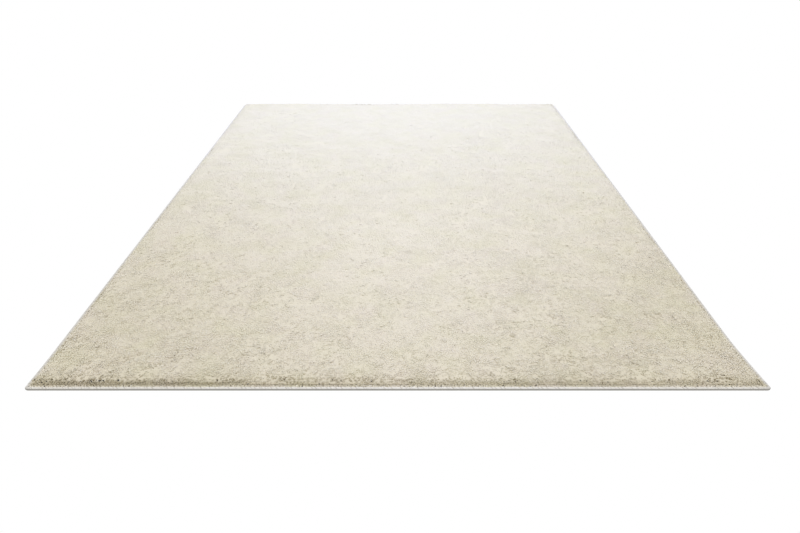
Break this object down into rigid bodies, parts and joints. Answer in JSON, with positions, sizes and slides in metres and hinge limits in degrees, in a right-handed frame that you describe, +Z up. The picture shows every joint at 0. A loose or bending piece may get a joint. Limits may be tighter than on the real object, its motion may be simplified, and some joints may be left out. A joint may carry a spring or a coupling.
{
  "type": "shag rug",
  "caption": "Rectangular cream shag rug lying flat: a thick soft pile on a thin ground cloth, with a narrow whipped yarn binding along every edge.",
  "frame": {"origin": "middle of the rug's flat underside, on the floor", "axes": "+Z up out of the pile, +Y along the rug's long sides, +X along its short sides"},
  "size_m": [1.6, 2.3, 0.0267],
  "materials": {
    "pile_yarn": "soft matt twisted pile yarn, cream, in loose locks",
    "backing_cloth": "plain woven ground cloth, pale beige, matt",
    "binding_yarn": "close whipped edge yarn, off-white, faint sheen"
  },
  "bodies": {
    "root": {"backing": "backing_cloth", "pile": "pile_yarn", "binding_front": "binding_yarn", "binding_right": "binding_yarn", "binding_back": "binding_yarn", "binding_left": "binding_yarn"}
  },
  "joints": []
}
